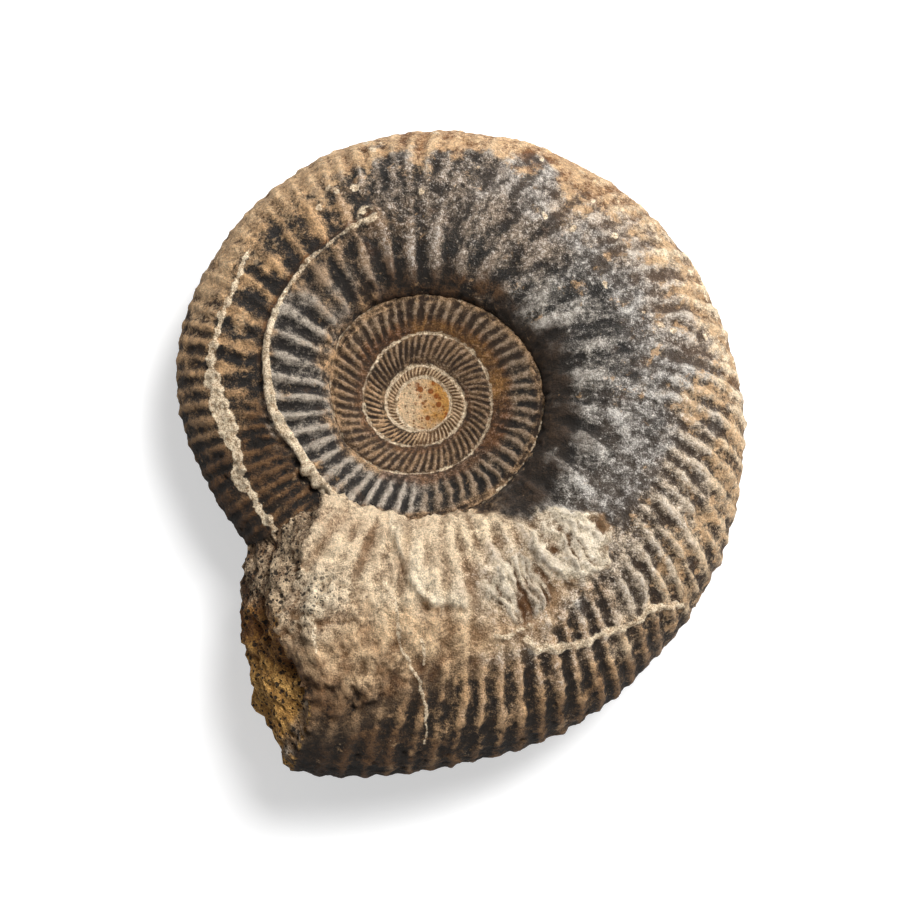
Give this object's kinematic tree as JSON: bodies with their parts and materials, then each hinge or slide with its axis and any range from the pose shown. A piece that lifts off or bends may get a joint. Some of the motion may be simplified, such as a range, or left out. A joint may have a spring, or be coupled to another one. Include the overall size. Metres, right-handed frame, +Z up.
{
  "type": "ammonite fossil",
  "caption": "Coiled ribbed ammonite cast in stone, lying on its side, with a wide stepped hollow at the centre and a rough broken end near the opening.",
  "frame": {"origin": "centre of the fossil's footprint, on the surface that it rests on", "axes": "+Z up from the resting surface, close to the coil axis; +Y along the long way of the coil, away from the broken end; +X across it"},
  "size_m": [0.1342, 0.1542, 0.0471],
  "materials": {
    "stone": "worn charcoal and brown stone cast with tan crests, a beige limestone crust and an ochre broken face"
  },
  "bodies": {
    "root": {"ammonite": "stone"}
  },
  "joints": []
}
